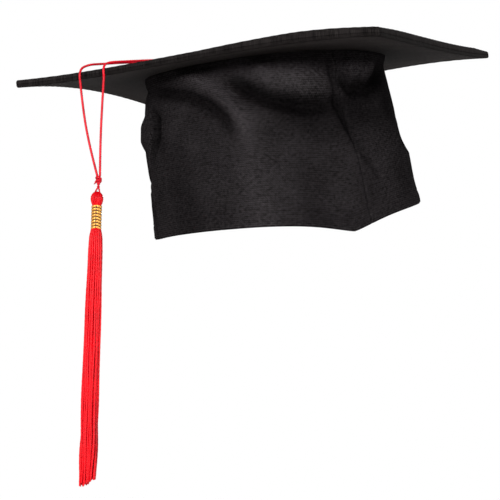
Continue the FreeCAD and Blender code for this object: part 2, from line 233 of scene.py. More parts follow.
def woven_cloth(name, dark, light, pitch=0.75, twill=0.7, sheen=0.02, roughness=0.55, depth=0.12,
                gloss=0.12, with_painted_shading=False):
    """Cloth with a twill or plain weave: warp ribs crossed by weft, with soft colour variation."""
    material, tree, shader = new_material(name)
    line = 2 * math.pi / pitch / 20.0
    warp = texture(tree, "Wave", (1, 1, 1), twill, Scale=line, Distortion=0.5, Detail=1.0)
    weft = texture(tree, "Wave", (1, 1, 1), Scale=line * 0.9, Distortion=0.4, Detail=1.0)
    weft.bands_direction = "Y"
    weave = tree.nodes.new("ShaderNodeMath")
    weave.operation = "MULTIPLY"
    tree.links.new(warp.outputs["Fac"], weave.inputs[0])
    tree.links.new(weft.outputs["Fac"], weave.inputs[1])
    cloud = texture(tree, "Noise", (1, 1, 1), Scale=0.045, Detail=5.0, Roughness=0.6)
    slub = texture(tree, "Noise", (0.9, 1.6, 1), Scale=0.35, Detail=3.0, Roughness=0.7)
    grain = texture(tree, "Noise", (1.0, 1.3, 1), twill, Scale=0.55, Detail=3.0, Roughness=0.85)
    uneven = blend(tree, cloud.outputs["Fac"], slub.outputs["Fac"], 0.45)
    speckled = blend(tree, uneven, grain.outputs["Fac"], 0.62)
    shade = tree.nodes.new("ShaderNodeMath")
    shade.operation = "MULTIPLY_ADD"
    shade.inputs[1].default_value = 0.16
    tree.links.new(weave.outputs[0], shade.inputs[0])
    tree.links.new(speckled, shade.inputs[2])
    colour = colour_ramp(tree, shade.outputs[0], [(0.44, dark), (0.72, light)])
    # Painted light and shade: the colour is multiplied by a per-point attribute. It darkens fold valleys and
    # the underside round the crown, and lightens ridges and the top cover's edge.
    if with_painted_shading:
        painted_shading = tree.nodes.new("ShaderNodeAttribute")
        painted_shading.attribute_name = "painted_shading"
        deepened = tree.nodes.new("ShaderNodeVectorMath")
        deepened.operation = "SCALE"
        tree.links.new(colour, deepened.inputs[0])
        tree.links.new(painted_shading.outputs["Fac"], deepened.inputs["Scale"])
        colour = deepened.outputs["Vector"]
    tree.links.new(colour, shader.inputs["Base Color"])
    rough = add_bump(tree, grain.outputs["Fac"], 0.6, 0.35)
    ribs = add_bump(tree, weave.outputs[0], 0.55, depth, rough)
    soft = add_bump(tree, slub.outputs["Fac"], 0.5, 0.25, ribs)
    tree.links.new(soft, shader.inputs["Normal"])
    shader.inputs["Roughness"].default_value = roughness
    shader.inputs["Specular IOR Level"].default_value = gloss
    shader.inputs["Sheen Weight"].default_value = sheen
    shader.inputs["Sheen Roughness"].default_value = 0.45
    shader.inputs["Sheen Tint"].default_value = (0.75, 0.72, 0.72, 1)
    return material


def rayon(name, deep, bright, roughness=0.42, metallic=0.0, grain=2.2):
    """Shiny thread: fine fibres run along the strand, and its colour varies a little."""
    material, tree, shader = new_material(name)
    fibre = texture(tree, "Noise", (0.35, 3.0, 1), 0.25, Scale=grain, Detail=4.0, Roughness=0.65)
    cloud = texture(tree, "Noise", (1, 1, 1), Scale=0.12, Detail=2.0)
    mixed = blend(tree, fibre.outputs["Fac"], cloud.outputs["Fac"], 0.4)
    tree.links.new(colour_ramp(tree, mixed, [(0.32, deep), (0.62, bright)]), shader.inputs["Base Color"])
    tree.links.new(add_bump(tree, fibre.outputs["Fac"], 0.5, 0.08), shader.inputs["Normal"])
    shader.inputs["Roughness"].default_value = roughness
    shader.inputs["Metallic"].default_value = metallic
    shader.inputs["Specular IOR Level"].default_value = 0.12
    return material


def solid_stock(name, colour, roughness, metallic=0.0, grain=900.0, spread=0.15):
    """Metal or card with a fine grain in its colour, roughness and surface."""
    material, tree, shader = new_material(name)
    place = tree.nodes.new("ShaderNodeTexCoord")
    speck = add_node(tree, "ShaderNodeTexNoise", Scale=grain, Detail=4.0)
    tree.links.new(place.outputs["Object"], speck.inputs["Vector"])
    darker = tuple(c * (1 - spread) for c in colour)
    lighter = tuple(min(c * (1 + spread), 1.0) for c in colour)
    ramp = colour_ramp(tree, speck.outputs["Fac"], [(0.35, darker), (0.65, lighter)])
    tree.links.new(ramp, shader.inputs["Base Color"])
    tree.links.new(add_bump(tree, speck.outputs["Fac"], 0.3, 0.05), shader.inputs["Normal"])
    shader.inputs["Roughness"].default_value = roughness
    shader.inputs["Metallic"].default_value = metallic
    return material


def make_materials():
    return {
        "crown": woven_cloth(
            "crown_cloth", (0.0022, 0.0019, 0.0020), (0.0200, 0.0178, 0.0187),
            pitch=1.1, gloss=0.0, sheen=0.0, with_painted_shading=True
        ),
        "board": woven_cloth(
            "board_cloth", (0.0022, 0.0019, 0.0019), (0.0100, 0.0087, 0.0085),
            twill=0.0, gloss=0.0, with_painted_shading=True
        ),
        # The underside cloth is lighter and browner than the top's. This is partly its own colour and partly
        # painted sheen, standing in for the grazing reflection of the bright backdrop.
        "underside": woven_cloth(
            "underside_cloth", (0.0078, 0.0065, 0.0063), (0.034, 0.0292, 0.0284),
            twill=0.0, gloss=0.012, sheen=0.0, roughness=0.85, with_painted_shading=True
        ),
        "lining": woven_cloth(
            "lining_cloth", (0.005, 0.005, 0.006), (0.018, 0.018, 0.02), pitch=0.5, twill=0.0
        ),
        "tape": woven_cloth("hem_tape", (0.012, 0.009, 0.008), (0.040, 0.030, 0.026), pitch=0.6, twill=0.4),
        "elastic": woven_cloth(
            "elastic_knit", (0.008, 0.008, 0.009), (0.03, 0.03, 0.032), pitch=1.3, twill=0.0
        ),
        "thread": rayon("black_thread", (0.003, 0.003, 0.003), (0.015, 0.014, 0.014), roughness=0.7),
        "cord": rayon("red_cord", (0.16, 0.001, 0.005), (0.50, 0.003, 0.012)),
        "fringe": rayon("red_thread", (0.27, 0.0008, 0.0032), (0.52, 0.0012, 0.0056)),
        "gold": rayon("gold_thread", (0.27, 0.10, 0.011), (0.71, 0.37, 0.09), roughness=0.36, metallic=0.5),
        "under_gold": solid_stock("gold_shadow", (0.035, 0.012, 0.004), 0.7),
        "metal": solid_stock("tinplate", (0.62, 0.61, 0.60), 0.35, metallic=1.0),
        "card": solid_stock("grey_card", (0.30, 0.27, 0.23), 0.85),
    }


# ---- mesh builders

def to_row(points):
    """Cap-frame millimetres to row-frame metres."""
    return (np.asarray(points) @ TURN.T) * MM


def make_object(name, vertices, faces, uvs, material):
    """A mesh in row-frame metres. uvs holds one pair per vertex, in millimetres along the cloth."""
    mesh = bpy.data.meshes.new(name)
    mesh.from_pydata([tuple(v) for v in np.asarray(vertices).tolist()], [], faces)
    layer = mesh.uv_layers.new(name="cloth")
    loops = np.zeros(len(mesh.loops), dtype=np.int32)
    mesh.loops.foreach_get("vertex_index", loops)
    layer.data.foreach_set("uv", np.asarray(uvs, dtype=np.float32)[loops].ravel())
    mesh.polygons.foreach_set("use_smooth", [True] * len(mesh.polygons))
    mesh.validate()
    obj = add_object(name, mesh)
    obj.data.materials.append(material)
    return obj


def grid_faces(rows, columns, closed=False, offset=0, flip=False):
    faces = []
    for i in range(rows - 1):
        for j in range(columns if closed else columns - 1):
            a = offset + i * columns + j
            b = offset + i * columns + (j + 1) % columns
            face = (a, b, b + columns, a + columns)
            faces.append(face[::-1] if flip else face)
    return faces


def shell_object(name, outer, inner, uv, material, closed):
    """A closed skin from two grids of the same shape (rows, columns, 3), joined round their edges."""
    rows, columns = outer.shape[:2]
    count = rows * columns
    faces = grid_faces(rows, columns, closed)
    faces += grid_faces(rows, columns, closed, offset=count, flip=True)
    spans = columns if closed else columns - 1
    borders = []
    for i, flip in ((0, True), (rows - 1, False)):
        borders += [(i * columns + j, i * columns + (j + 1) % columns, flip) for j in range(spans)]
    if not closed:
        for j, flip in ((0, False), (columns - 1, True)):
            borders += [(i * columns + j, (i + 1) * columns + j, flip) for i in range(rows - 1)]
    for a, b, flip in borders:
        face = (a, b, b + count, a + count)
        faces.append(face[::-1] if flip else face)
    vertices = np.concatenate([outer.reshape(-1, 3), inner.reshape(-1, 3)])
    uvs = np.concatenate([uv.reshape(-1, 2), uv.reshape(-1, 2)])
    return make_object(name, vertices, faces, uvs, material)


def frames_along(path):
    """Tangent and two side directions at each point of a path, carried along without twist."""
    tangent = np.gradient(path, axis=0)
    tangent /= np.linalg.norm(tangent, axis=1, keepdims=True)
    seed = np.array([0.0, 0.0, 1.0]) if abs(tangent[0][2]) < 0.8 else OUTWARD
    side = seed - tangent[0] * (seed @ tangent[0])
    sides = []
    for t in tangent:
        side = side - t * (side @ t)
        side = side / np.linalg.norm(side)
        sides.append(side)
    sides = np.array(sides)
    return tangent, sides, np.cross(tangent, sides)


def length_along(path):
    """Distance along a path at each of its points."""
    return np.concatenate([[0], np.cumsum(np.linalg.norm(np.diff(path, axis=0), axis=1))])


def cap_faces(count, sides):
    """Faces from a tube's two end points, numbered count and count + 1, to its first and last rings."""
    faces = []
    last = count - sides
    for j in range(sides):
        k = (j + 1) % sides
        faces.append((count, j, k))
        faces.append((count + 1, last + k, last + j))
    return faces


def tube_parts(path, radius, lobes=0, pitch=3.0, swell=0.16, sides=10, phase=0.0):
    """Vertices, faces and UVs of a closed tube along a path in millimetres. With lobes, its section
    is that of a cord twisted from as many plies, which turns once every pitch."""
    path = np.asarray(path, dtype=float)
    radius = np.broadcast_to(np.asarray(radius, dtype=float), (len(path),))
    length = length_along(path)
    tangent, side, other = frames_along(path)
    angles = 2 * math.pi * np.arange(sides) / sides
    twist = 2 * math.pi * length / pitch + phase
    shape = np.ones((len(path), sides))
    if lobes:
        shape += swell * np.cos(lobes * (angles[None, :] - twist[:, None]))
    reach = radius[:, None] * shape
    ring = np.cos(angles)[None, :, None] * side[:, None, :]
    ring = ring + np.sin(angles)[None, :, None] * other[:, None, :]
    vertices = (path[:, None, :] + reach[:, :, None] * ring).reshape(-1, 3)
    faces = grid_faces(len(path), sides, closed=True, flip=True) + cap_faces(len(vertices), sides)
    ends = np.array([path[0] - tangent[0] * radius[0] * 0.4, path[-1] + tangent[-1] * radius[-1] * 0.4])
    vertices = np.concatenate([vertices, ends])
    around = np.broadcast_to(angles[None, :] * radius[:, None], shape.shape)
    along = np.broadcast_to(length[:, None], shape.shape)
    uvs = np.stack([along, around], axis=2).reshape(-1, 2)
    uvs = np.concatenate([uvs, [[0, 0], [length[-1], 0]]])
    return vertices, faces, uvs


def join_parts(name, parts, material):
    """One object, in row-frame metres, from several (vertices, faces, uvs) in millimetres."""
    vertices, faces, uvs = [], [], []
    total = 0
    for part_vertices, part_faces, part_uvs in parts:
        vertices.append(part_vertices)
        uvs.append(part_uvs)
        faces += [tuple(index + total for index in face) for face in part_faces]
        total += len(part_vertices)
    return make_object(name, np.concatenate(vertices) * MM, faces, np.concatenate(uvs), material)


def round_axis(reach, turn, height):
    """Points at a reach and turn from the Z axis."""
    return np.stack(np.broadcast_arrays(reach * np.cos(turn), reach * np.sin(turn), height), axis=1)


def lathe_parts(profile, middle, sides=48):
    """A closed solid of revolution about a plumb axis. profile lists (radius, height), from its
    top to its bottom, in millimetres."""
    profile = np.asarray(profile, dtype=float)
    angles = 2 * math.pi * np.arange(sides) / sides
    ring = np.stack([np.cos(angles), np.sin(angles)], axis=1)
    vertices = np.zeros((len(profile), sides, 3))
    vertices[:, :, :2] = profile[:, None, :1] * ring[None]
    vertices[:, :, 2] = profile[:, 1:]
    uvs = np.zeros((len(profile), sides, 2))
    uvs[:, :, 0] = -profile[:, 1:]
    uvs[:, :, 1] = angles[None] * profile[:, :1]
    faces = grid_faces(len(profile), sides, closed=True, flip=True) + cap_faces(len(profile) * sides, sides)
    flat = np.concatenate([vertices.reshape(-1, 3), [[0, 0, profile[0, 1]], [0, 0, profile[-1, 1]]]])
    return flat + middle, faces, np.concatenate([uvs.reshape(-1, 2), [[0, 0], [0, 0]]])


def stand_in(obj, body, node):
    """obj moves with a CAD body and is shown in place of its node."""
    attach(obj, body)
    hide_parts(node)


def thread_piece(name, parts, material, body, node):
    stand_in(join_parts(name, parts, MATERIALS[material]), body, node)


def smooth_noise(points, scale, seed):
    """Smooth noise from -1 to 1 at each point, with features of about scale."""
    shift = Vector((seed * 13.7, seed * 5.3, seed * 9.1))
    flat = np.asarray(points).reshape(-1, 3)
    values = [noise.noise(Vector(p) / scale + shift) for p in flat]
    return np.array(values).reshape(np.asarray(points).shape[:-1])


# ---- cords

def board_sag(x, y):
    """Height of the board's surface at (x, y) relative to its middle."""
    across = x / HALF_DIAGONAL
    ahead = -y / HALF_DIAGONAL
    level = SIDE_DROOP * across ** 2 + FRONT_DROOP * ahead ** 2
    return -level - FRONT_EDGE_BOW * across ** 2 * ahead - LEFT_EDGE_BOW * across * ahead ** 2


def on_board(along, inwards, height):
    """Row-frame millimetres of a point by its distance along the front right edge from the right
    corner, its distance inwards from that edge, and its height above the top cover."""
    root = math.sqrt(0.5)
    x = -HALF_DIAGONAL + root * (along + inwards)
    y = root * (inwards - along)
    z = CROWN_HEIGHT + board_sag(x, y) + BOARD_THICKNESS + height
    return TURN @ np.array([x, y, z])


def spline_points(route, step=0.5):
    """The smooth NURBS line that has the route's points as control points, in millimetres, read
    from Blender and divided evenly."""
    data = bpy.data.curves.new("route", "CURVE")
    data.dimensions = "3D"
    data.resolution_u = 24
    spline = data.splines.new("NURBS")
    spline.points.add(len(route) - 1)
    for point, place in zip(spline.points, route):
        point.co = (*place, 1.0)
    spline.order_u = 3
    spline.use_endpoint_u = True
    holder = add_object("route", data)
    mesh = bpy.data.meshes.new_from_object(holder)
    points = np.array([v.co for v in mesh.vertices])
    bpy.data.objects.remove(holder)
    bpy.data.meshes.remove(mesh)
    length = length_along(points)
    count = max(int(length[-1] / step), 8)
    even = np.linspace(0, length[-1], count)
    return np.stack([np.interp(even, length, points[:, k]) for k in range(3)], axis=1), length[-1]


def make_cord(name, route, body, node):
    path, length = spline_points(route)
    parts = tube_parts(path, CORD_DIAMETER / 2 * 0.94, lobes=3, pitch=4.2, swell=0.13, sides=15)
    cord = join_parts(name, [parts], MATERIALS["cord"])
    stand_in(cord, body, node)


def make_cords():
    loop = [
        (HANG_RIGHT, HANG_STANDOFF, -BOARD_THICKNESS), (47.2, -1.9, 1.4), (50.6, 4.6, 3.9),
        (55.3, 14.2, 3.5),
        (62.2, 29.6, 3.3), (75.8, 53.0, 2.5), (90.2, 81.5, 1.3), (102.2, 102.4, 1.4),
        (109.2, 115.5, 2.1), (115.4, 127.6, 2.4), (124.2, 127.9, 2.4), (128.8, 120.3, 2.4),
        (122.3, 108.6, 2.1), (114.8, 95.6, 1.4), (104.9, 76.0, 1.3), (89.9, 49.8, 1.5),
        (77.4, 24.8, 2.2), (69.4, 11.0, 2.8), (65.2, 3.4, 3.2), (63.7, -1.9, 1.2),
        (HANG_LEFT, HANG_STANDOFF, -BOARD_THICKNESS),
    ]
    make_cord("cord_loop_on_board", [on_board(*p) for p in loop], "cap", "cord_on_board")

    right_start = on_board(HANG_RIGHT, HANG_STANDOFF, -BOARD_THICKNESS)
    left_start = on_board(HANG_LEFT, HANG_STANDOFF, -BOARD_THICKNESS)
    along = (left_start - right_start) / np.linalg.norm(left_start - right_start)
    into_knot = KNOT + np.array([0, 0, 2.45])
    for name, node, start, side, bends in (
        ("hanging_strand_right", "loop_strand_right", right_start, -0.9, ((0.30, 1.6), (0.68, 1.7))),
        ("hanging_strand_left", "loop_strand_left", left_start, 0.9, ((0.33, 0.5), (0.69, 0.6))),
    ):
        fall = into_knot + along * side - start
        middle = [start + fall * share - along * bow for share, bow in bends]
        make_cord(name, [start] + middle + [start + fall], "cord_loop", node)


# ---- board covers

def board_outline(count):
    """Points round the board's rounded square outline, even in distance, and the way out of each."""
    half = BOARD_SIDE / 2
    straight = half - BOARD_CORNER_RADIUS
    points, normals = [], []
    per_side = count // 4
    run = 2 * straight
    arc = math.pi / 2 * BOARD_CORNER_RADIUS
    for side in range(4):
        turn = Matrix.Rotation(side * math.pi / 2, 2)
        for k in range(per_side):
            s = (run + arc) * k / per_side
            if s < run:
                place, normal = Vector((half, -straight + s)), Vector((1, 0))
            else:
                a = (s - run) / BOARD_CORNER_RADIUS
                normal = Vector((math.cos(a), math.sin(a)))
                place = Vector((straight, straight)) + normal * BOARD_CORNER_RADIUS
            points.append(turn @ place)
            normals.append(turn @ normal)
    eighth = Matrix.Rotation(math.pi / 4, 2)
    return np.array([eighth @ p for p in points]), np.array([eighth @ n for n in normals])


def cover_grid(top, inset):
    """The board cover's skin, from its middle to the seam at mid-thickness, drawn in by inset."""
    outline, normal = board_outline(640)
    half_thick = BOARD_THICKNESS / 2 - inset
    lip = 1.5
    spread = np.concatenate([np.linspace(0.02, 0.90, 40), np.linspace(0.91, 0.975, 16)])
    rings = []
    for s in spread:
        rings.append((outline * s, np.zeros(len(outline))))
    reach = np.linspace(0.0, 1.0, 12)[1:] * math.pi / 2
    for a in reach:
        out = math.sin(a) ** 0.8 * lip - lip - inset
        fall = (1 - math.cos(a) ** 0.7) * (half_thick - 0.12)
        rings.append((outline + normal * out, np.full(len(outline), fall)))
    grid = np.zeros((len(rings), len(outline), 3))
    for i, (place, fall) in enumerate(rings):
        height = half_thick - fall
        grid[i, :, 0], grid[i, :, 1] = place[:, 0], place[:, 1]
        grid[i, :, 2] = height if top else -height
    return grid


def add_board_relief(grid, top):
    """Slight unevenness of cloth glued over card, with puckers close to the edge seam."""
    x, y = grid[:, :, 0], grid[:, :, 1]
    turned_x, turned_y = (x + y) / math.sqrt(2), (y - x) / math.sqrt(2)
    to_edge = BOARD_SIDE / 2 - np.maximum(np.abs(turned_x), np.abs(turned_y))
    around = np.where(np.abs(turned_x) > np.abs(turned_y), turned_y, turned_x)
    pucker = np.sin(around * 0.9 + 2.5 * np.sin(around * 0.11)) * np.exp(-((to_edge - 4.0) / 4.0) ** 2)
    flat = np.stack([x, y, np.full_like(x, 3.0 if top else -3.0)], axis=2)
    waves = smooth_noise(flat, 45.0, 3) * 0.35 + smooth_noise(flat, 14.0, 4) * 0.12
    calm = np.clip(to_edge / 10.0, 0, 1)
    sign = 1.0 if top else -1.0
    if top:
        side = np.clip((x + 80) / 45, 0, 1) * np.clip((166 - x) / 22, 0, 1) * np.clip((25 - y) / 30, 0, 1)
        loose = (1.7 - 0.7 * np.exp(-((x / 18) ** 2))) * side * np.exp(-((to_edge / 16) ** 2))
        grid[:, :, 2] += loose * np.clip((grid[:, :, 2] - 0.4) / 1.8, 0, 1)
    grid[:, :, 2] += sign * (0.10 * pucker + waves * calm - 0.1 * calm)
    return grid


def set_painted_shading(obj, shade):
    """Painted shade and highlight: what the cloth's colour is multiplied by at each point of a skin's grid,
    on both of its faces.
    """
    values = np.concatenate([shade.ravel(), shade.ravel()]).astype(np.float32)
    layer = obj.data.attributes.new("painted_shading", "FLOAT", "POINT")
    layer.data.foreach_set("value", values)


def make_board_covers():
    for top in (True, False):
        outer = add_board_relief(cover_grid(top, 0.0), top)
        inner = outer.copy()
        shrink = cover_grid(top, 0.5)
        inner[:, :, :2] = shrink[:, :, :2]
        inner[:, :, 2] = outer[:, :, 2] - (0.5 if top else -0.5) * np.linspace(1, 0.3, len(outer))[:, None]
        placed = []
        for grid in (outer, inner):
            grid = grid.copy()
            sag = board_sag(grid[:, :, 0], grid[:, :, 1])
            grid[:, :, 2] += CROWN_HEIGHT + BOARD_THICKNESS / 2 + sag
            placed.append(to_row(grid))
        if not top:
            placed = [np.flip(grid, axis=1) for grid in placed]
        uv = outer[:, :, :2] if top else np.flip(outer[:, :, :2], axis=1)
        name = "board_cover_top" if top else "board_cover_bottom"
        cloth = MATERIALS["board" if top else "underside"]
        cover = shell_object(name, placed[0], placed[1], uv, cloth, closed=True)
        lip = np.zeros(outer.shape[:2])
        lip[-LIP_ROWS:] = 1.0
        if top:
            # painted highlight: the top cover's edge band is lightened 1.7 times where the edge catches light
            set_painted_shading(cover, 1 + 0.7 * lip)
        else:
            # painted shadow: the underside darkens round the crown's root, where the crown blocks the light,
            # and its edge band is darkened to 0.34 of the underside cloth
            gap = np.maximum(np.hypot(outer[:, :, 0], outer[:, :, 1]) - TOP_RADIUS, 0)
            set_painted_shading(cover, (1 - 0.66 * lip) * (1 - 0.5 * np.exp(-((gap / 28) ** 2))))
        stand_in(cover, "cap", "board_top_cover" if top else "board_bottom_cover")


# ---- crown

def hem_height(x, front):
    reach = np.minimum(np.abs(x) / RIM_HALF_WIDTH, 1.0)
    arch = np.cos(math.pi / 2 * reach)
    point = np.exp(-((np.abs(x) / POINT_HALF_WIDTH) ** 1.3))
    level = -1.0 + HEM_SKEW * x / RIM_HALF_WIDTH
    return np.where(front, level - FRONT_DIP * arch - POINT_DROP * point, level + BACK_RISE * arch)


def crown_plan(turn, height):
    """Plan position of the crown's wall at a turn from the front and a height over the rim."""
    drop = (CROWN_HEIGHT - height) / CROWN_HEIGHT
    swell = CROWN_PUFF * np.sin(math.pi * np.clip(drop, 0, 1))
    half_x = TOP_RADIUS + (RIM_HALF_WIDTH - TOP_RADIUS) * drop + swell
    half_y = TOP_RADIUS + (RIM_HALF_LENGTH - TOP_RADIUS) * drop + swell
    return half_x * np.sin(turn), RIM_SHIFT * drop - half_y * np.cos(turn)


def crown_base(turn, share):
    """The crown's smooth wall: share runs from 0 at the board to 1 at the hem."""
    x, y = crown_plan(turn, np.full_like(turn, CROWN_HEIGHT))
    top = CROWN_HEIGHT + board_sag(x, y) - 0.15
    x, y = crown_plan(turn, np.zeros_like(turn))
    bottom = hem_height(x, y < RIM_SHIFT)
    height = top + (bottom - top) * share
    x, y = crown_plan(turn, height)
    return np.stack([x, y, height], axis=-1)


# Folds: the line that each follows, as (turn in degrees, share of the way down) points, then its
# half-width and its height in millimetres; a negative height is a valley.
FOLDS = [
    ([(-68, 0.02), (-58, 0.06), (-48, 0.13), (-41, 0.23), (-37, 0.37), (-36, 0.56)], 6.5, 6.0),
    ([(-94, 0.10), (-78, 0.13), (-64, 0.17), (-53, 0.24), (-45, 0.34), (-42, 0.46)], 4.0, -6.0),
    ([(-41, 0.12), (-33, 0.20), (-24, 0.27), (-10, 0.31), (14, 0.29)], 5.0, -8.0),
    ([(-26, 0.34), (-8, 0.38), (10, 0.38), (30, 0.37), (52, 0.36)], 11.0, -3.6),
    ([(-30, 0.05), (-22, 0.11), (-10, 0.15), (3, 0.12)], 9.0, 5.0),
    ([(-35, 0.44), (-36, 0.60), (-37, 0.80), (-38, 1.0)], 12.0, 4.6),
    ([(-70, 0.50), (-72, 0.75), (-72, 1.0)], 16.0, -2.4),
    ([(-14, 0.52), (-14, 0.72), (-12, 1.0)], 10.0, -1.6),
    ([(-110, 0.02), (-108, 0.14)], 12.0, -3.2),
    ([(-114, 0.26), (-110, 0.42)], 14.0, 3.4),
    ([(-112, 0.60), (-110, 0.68)], 12.0, -2.2),
    ([(-99, 0.30), (-92, 0.34), (-86, 0.40)], 10.0, -10.5),
    ([(5, 0.0), (6, 0.10), (6, 0.19), (7, 0.35), (9, 0.50), (10, 0.59)], 2.8, -3.0),
    ([(10, 0.57), (15, 0.66), (20, 0.80)], 3.2, -1.4),
    ([(7, 0.15), (17, 0.23), (28, 0.24), (40, 0.17), (52, 0.08)], 5.5, -7.5),
    ([(12, 0.07), (24, 0.11), (36, 0.06)], 6.0, 3.6),
    ([(30, 0.30), (58, 0.12), (60, 0.50), (60, 0.66)], 26.0, -4.4),
    ([(56, 0.74), (80, 0.74)], 20.0, -3.4),
    ([(56, 1.0), (80, 1.0)], 12.0, 3.6),
    ([(96, 0.1), (92, 0.35), (97, 0.6)], 6.0, -2.4),
    ([(120, 0.06), (135, 0.22), (150, 0.30)], 7.0, -3.4),
    ([(-120, 0.05), (-134, 0.20), (-152, 0.26)], 7.0, -3.4),
    ([(165, 0.10), (178, 0.28), (190, 0.12)], 9.0, 3.0),
    ([(110, 0.40), (124, 0.55), (130, 0.75)], 9.0, 2.0),
    ([(-118, 0.45), (-130, 0.60), (-134, 0.80)], 9.0, 2.0),
]
SEAMS = [FRONT_SEAM, SIDE_SEAM, 180.0, -SIDE_SEAM]
ARC_SCALE = 1.52           # millimetres of cloth per degree of turn
DROP_SCALE = 101.0         # millimetres of cloth from board to hem


def turn_gap(turn, line):
    """Signed degrees from a line to a turn, the short way round."""
    return (turn - line + 180.0) % 360.0 - 180.0


def fold_height(turn, share, line, width, height):
    """A rounded ridge or valley along a line, fading at its two ends."""
    best = np.full(turn.shape, 1e9)
    place = np.zeros(turn.shape)
    segments = list(zip(line, line[1:]))
    for index, ((t0, s0), (t1, s1)) in enumerate(segments):
        px = turn_gap(turn, t0) * ARC_SCALE
        py = (share - s0) * DROP_SCALE
        dx = (t1 - t0) * ARC_SCALE
        dy = (s1 - s0) * DROP_SCALE
        k = np.clip((px * dx + py * dy) / (dx * dx + dy * dy), 0, 1)
        gap = np.hypot(px - k * dx, py - k * dy)
        closer = gap < best
        best = np.where(closer, gap, best)
        place = np.where(closer, (index + k) / len(segments), place)
    to_hem = line[-1][1] >= 1.0
    start = np.clip(place / (0.6 if to_hem else 0.25), 0, 1)
    end = np.ones_like(place) if to_hem else np.clip((1 - place) / 0.3, 0, 1)
    fade = np.sin(start * math.pi / 2) * np.sin(end * math.pi / 2)
    return height * (0.15 + 0.85 * fade) * np.exp(-((best / width) ** 2))


def folds_height(turn, share):
    relief = np.zeros(turn.shape)
    for line, width, height in FOLDS:
        relief += fold_height(turn, share, line, width, height)
    return relief


def crown_relief(turn, share):
    """How far the cloth stands out from the smooth wall, in millimetres. turn is in degrees."""
    relief = folds_height(turn, share)
    radians = np.radians(turn)
    cloth = np.stack([85 * np.sin(radians), -85 * np.cos(radians), -DROP_SCALE * share], axis=-1)
    drape = smooth_noise(cloth * np.array([1, 1, 0.5]), 30.0, 1) * 1.1
    drape += smooth_noise(cloth, 11.0, 2) * 0.32 + smooth_noise(cloth, 5.0, 5) * 0.10
    calm_top = np.clip(share / 0.06, 0, 1)
    calm_hem = 1 - 0.55 * np.clip((share - 0.8) / 0.2, 0, 1)
    relief = (relief + drape) * calm_top * calm_hem
    # gathers where the elastic draws in the back hem, and small ones under the board
    behind = np.clip((np.abs(turn_gap(turn, 0)) - SIDE_SEAM - 2) / 12.0, 0, 1)
    pleat = np.sin(radians * 34 + 1.6 * np.sin(radians * 9) + 0.8 * np.sin(radians * 5 + 1))
    relief += behind * pleat * (1.5 * np.clip((share - 0.55) / 0.45, 0, 1) ** 1.4)
    tuck = np.sin(radians * 61 + 2.0 * np.sin(radians * 7))
    relief += 0.10 * tuck * np.exp(-(((share - 0.05) / 0.05) ** 2))
    # each seam lies in a groove between two soft shoulders
    for seam in SEAMS:
        gap = turn_gap(turn, seam) * ARC_SCALE
        relief += -0.65 * np.exp(-((gap / 0.7) ** 2)) + 0.12 * np.exp(-(((np.abs(gap) - 3.0) / 2.0) ** 2))
    # the turned hem stands a little proud, with a line of stitches above it
    above_hem = (1 - share) * DROP_SCALE
    relief += 0.35 / (1 + np.exp((above_hem - 10.0) / 0.5))
    relief -= 0.30 * np.exp(-(((above_hem - 9.0) / 0.7) ** 2))
    relief -= 0.9 * np.exp(-((above_hem / 0.7) ** 2))
    return relief


def crown_wall(turns, shares, inset):
    """The crown's cloth at a grid of turns and shares, inset behind its outer face."""
    turn, share = np.meshgrid(turns, shares)
    base = crown_base(np.radians(turn), share)
    relief = crown_relief(turn, share)
    flat = base.copy()
    flat[:, :, 2] = 0
    flat[:, :, 1] -= RIM_SHIFT * share
    outward = flat / np.linalg.norm(flat, axis=2, keepdims=True)
    return base + outward * (relief - inset)[:, :, None], turn, share


def crown_skin(name, turns, shares, inset, thickness, material, hem_lift=0.0):
    """A piece of cloth on the crown's wall, and the turn and share of each of its points."""
    outer, turn, share = crown_wall(turns, shares, inset)
    inner, _, _ = crown_wall(turns, shares, inset + thickness)
    inner[-1, :, 2] += hem_lift
    uv = np.stack([turn * ARC_SCALE, share * DROP_SCALE], axis=2)
    skin = shell_object(name, to_row(outer), to_row(inner), uv, MATERIALS[material], closed=False)
    return skin, turn, share


def make_crown_panel(name, start, end, node):
    columns = int(abs(end - start) * 2.4)
    turns = np.linspace(start, end, columns)
    shares = np.concatenate([np.linspace(0, 0.86, 96), np.linspace(0.865, 1.0, 34)])
    panel, turn, share = crown_skin(name, turns, shares, 0.0, CROWN_CLOTH, "crown", hem_lift=0.5)
    # Painted shade darkens the colour with each fold valley's depth, and painted highlight lightens it on the
    # ridges.
    depth = folds_height(turn, share)
    set_painted_shading(panel, np.exp(0.17 * np.clip(depth, DARKEST_FOLD, 0)) * (1 + 0.12 * np.maximum(depth, 0)))
    stand_in(panel, "cap", node)


def make_crown():
    for side, start, end in (
        ("front_left", FRONT_SEAM, SIDE_SEAM),
        ("back_left", SIDE_SEAM, 180.0),
        ("back_right", 180.0, 360.0 - SIDE_SEAM),
        ("front_right", -SIDE_SEAM, FRONT_SEAM),
    ):
        make_crown_panel("crown_panel_" + side, start, end, "crown_" + side)


def make_strip(name, start, end, low, high, behind, thickness, material, node, slot, panels):
    """A strip inside the crown, from low to high above the hem, lying on the panels or behind
    another strip on them."""
    turns = np.linspace(start, end, int(abs(end - start) * 2))
    shares = 1 - np.linspace(high, low, 16) / DROP_SCALE
    strip, _, _ = crown_skin(name, turns, shares, CROWN_CLOTH + 0.1 + behind, thickness, material)
    stand_in(strip, "cap", node)


def make_hem():
    start, end = SIDE_SEAM, 360 - SIDE_SEAM
    front = ["crown_panel_front_left", "crown_panel_front_right"]
    back = ["crown_panel_back_left", "crown_panel_back_right"]
    for strip in (
        ("hem_tape_front", -start, start, 0.6, 12.0, 0.0, 0.5, "tape", "front_hem_tape", "hem_tape", front),
        ("elastic_back", start + 1, end - 1, 2.0, 16.0, 0.0, 0.9, "elastic", "elastic_band", "elastic", back),
        ("casing_back", start, end, 0.6, 18.0, 1.0, 0.5, "tape", "back_casing", "hem_tape", back),
    ):
        make_strip(*strip)


